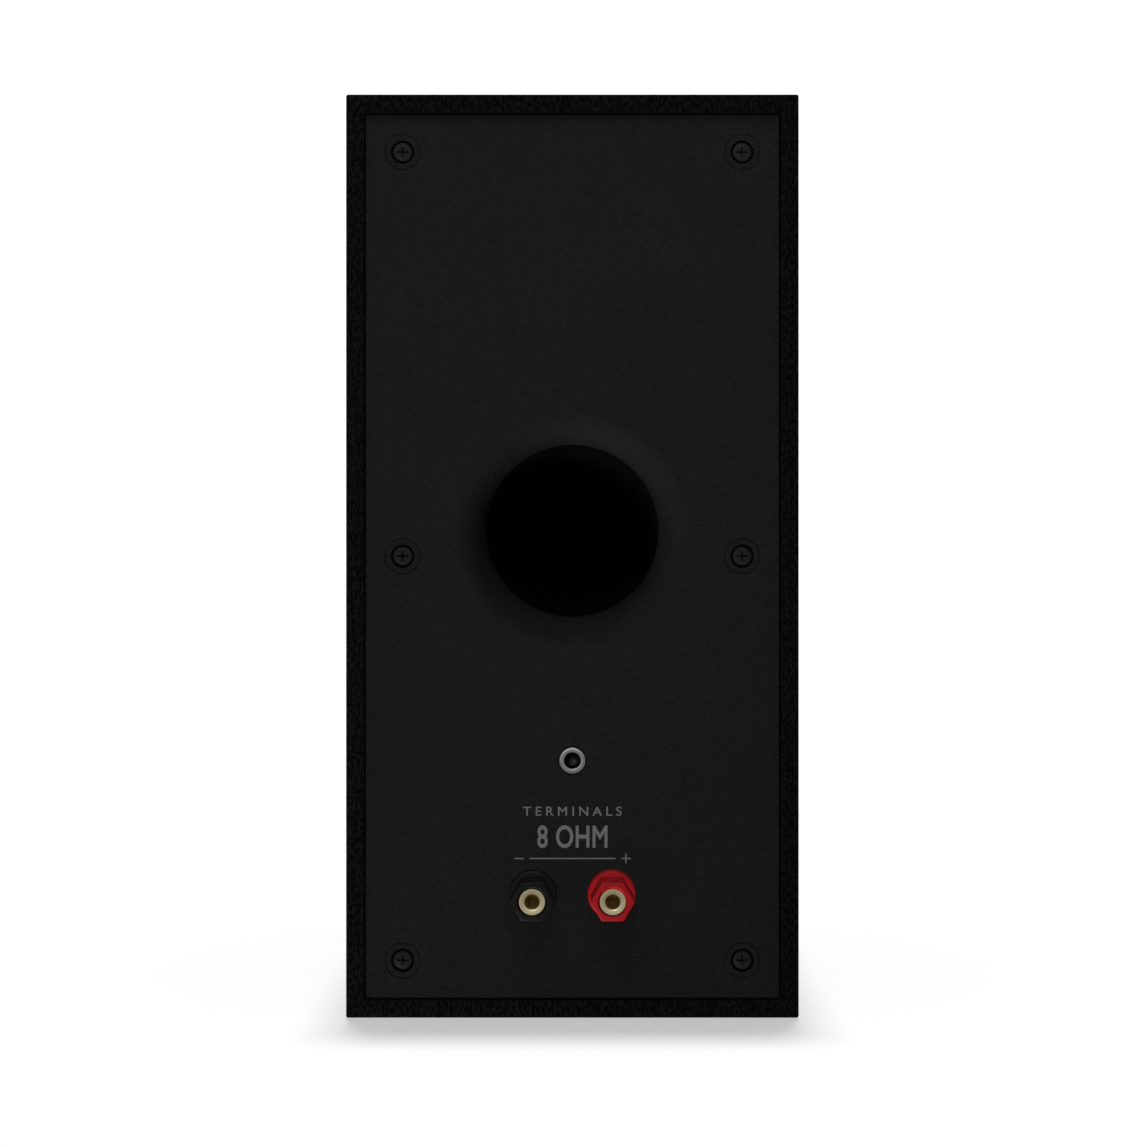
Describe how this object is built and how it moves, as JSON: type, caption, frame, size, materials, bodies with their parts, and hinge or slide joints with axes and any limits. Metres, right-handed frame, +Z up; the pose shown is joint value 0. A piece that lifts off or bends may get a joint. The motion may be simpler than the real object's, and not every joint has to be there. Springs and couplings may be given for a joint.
{
  "type": "bookshelf speaker",
  "caption": "Rear-ported two-way bookshelf loudspeaker: a boarded cabinet with a moulded rear cover, a flared port, binding posts, a woofer, a dome tweeter and a pull-off cloth grille.",
  "frame": {"origin": "under the middle of the whole object, at the height of the cabinet's base", "axes": "+Z up, +Y towards the rear with the port and the binding posts, -Y towards the grille, -X towards the red binding post"},
  "size_m": [0.151, 0.207, 0.308],
  "materials": {
    "vinyl_board": "black wood-grain vinyl over board",
    "painted_board": "satin black paint over board",
    "raw_board": "raw board",
    "moulded_black": "fine matte texture",
    "black_plastic": "satin",
    "red_plastic": "satin, slightly translucent",
    "gold_plated": "gold plated",
    "nickel": "nickel plated",
    "black_steel": "black oxide",
    "zinc_steel": "zinc plated",
    "ferrite": "matte",
    "rubber": "matte",
    "foam": "closed-cell foam",
    "cone": "satin",
    "silk": "coated",
    "spider_cloth": "resin-stiffened weave",
    "copper": "enamelled wire",
    "circuit_board": "solder mask",
    "capacitor": "film wrap",
    "wire_black": "satin sleeve",
    "wire_red": "satin sleeve",
    "wadding": "loose fibre",
    "grille_plastic": "fine matte texture",
    "grille_cloth": "knitted"
  },
  "bodies": {
    "cabinet": {"side_panel_left": "vinyl_board", "side_panel_right": "vinyl_board", "top_panel": "vinyl_board", "bottom_panel": "vinyl_board", "front_baffle": "painted_board", "rear_frame": "raw_board", "rear_cover": "moulded_black", "rear_cover_gasket": "foam", "port_tube": "moulded_black", "mounting_insert": "nickel", "rear_cover_screw_1": "black_steel", "rear_cover_screw_2": "black_steel", "rear_cover_screw_3": "black_steel", "rear_cover_screw_4": "black_steel", "rear_cover_screw_5": "black_steel", "rear_cover_screw_6": "black_steel", "red_post_collar": "red_plastic", "red_post_stud": "gold_plated", "red_post_nut": "gold_plated", "black_post_collar": "black_plastic", "black_post_stud": "gold_plated", "black_post_nut": "gold_plated", "woofer_basket": "black_steel", "woofer_top_plate": "zinc_steel", "woofer_magnet": "ferrite", "woofer_yoke": "zinc_steel", "woofer_surround": "rubber", "woofer_spider": "spider_cloth", "woofer_screw_1": "black_steel", "woofer_screw_2": "black_steel", "woofer_screw_3": "black_steel", "woofer_screw_4": "black_steel", "tweeter_faceplate": "moulded_black", "tweeter_surround": "silk", "tweeter_top_plate": "zinc_steel", "tweeter_magnet": "ferrite", "tweeter_yoke": "zinc_steel", "tweeter_screw_1": "black_steel", "tweeter_screw_2": "black_steel", "tweeter_screw_3": "black_steel", "tweeter_screw_4": "black_steel", "crossover_board": "circuit_board", "crossover_inductor": "copper", "crossover_capacitor": "capacitor", "input_lead_red": "wire_red", "input_lead_black": "wire_black", "woofer_cable": "wire_black", "tweeter_cable": "wire_black", "damping_wadding": "wadding"},
    "grille": {"grille_frame": "grille_plastic", "grille_cloth": "grille_cloth"},
    "red_clamp": {"red_post_washer": "gold_plated"},
    "red_cap": {"red_post_cap": "red_plastic"},
    "black_clamp": {"black_post_washer": "gold_plated"},
    "black_cap": {"black_post_cap": "black_plastic"},
    "woofer_moving": {"woofer_cone": "cone", "woofer_dust_cap": "cone", "woofer_voice_coil": "copper"},
    "tweeter_moving": {"tweeter_dome": "silk", "tweeter_voice_coil": "copper"}
  },
  "joints": [
    {"name": "grille_pull", "type": "slide", "parent": "cabinet", "child": "grille", "axis": [0, -1, 0], "range_m": [0, 0.08]},
    {"name": "red_clamp_travel", "type": "slide", "parent": "cabinet", "child": "red_clamp", "axis": [0, 1, 0], "range_m": [0, 0.006]},
    {"name": "red_cap_turn", "type": "hinge", "parent": "red_clamp", "child": "red_cap", "pos_m": [-0.01315, 0.0955, 0.0413], "axis": [0, 1, 0], "range_deg": [0, 2160]},
    {"name": "black_clamp_travel", "type": "slide", "parent": "cabinet", "child": "black_clamp", "axis": [0, 1, 0], "range_m": [0, 0.006]},
    {"name": "black_cap_turn", "type": "hinge", "parent": "black_clamp", "child": "black_cap", "pos_m": [0.01315, 0.0955, 0.0413], "axis": [0, 1, 0], "range_deg": [0, 2160]},
    {"name": "woofer_cone_travel", "type": "slide", "parent": "cabinet", "child": "woofer_moving", "axis": [0, -1, 0], "range_m": [-0.003, 0.003], "stiffness_N_per_m": 1000, "deforming": ["woofer_surround", "woofer_spider"]},
    {"name": "tweeter_dome_travel", "type": "slide", "parent": "cabinet", "child": "tweeter_moving", "axis": [0, -1, 0], "range_m": [-0.0003, 0.0003], "stiffness_N_per_m": 2000, "deforming": ["tweeter_surround"]}
  ],
  "couplings": [
    {"joint": "red_cap_turn", "follows": "red_clamp_travel", "rad_per_m": 6283},
    {"joint": "black_cap_turn", "follows": "black_clamp_travel", "rad_per_m": 6283}
  ]
}
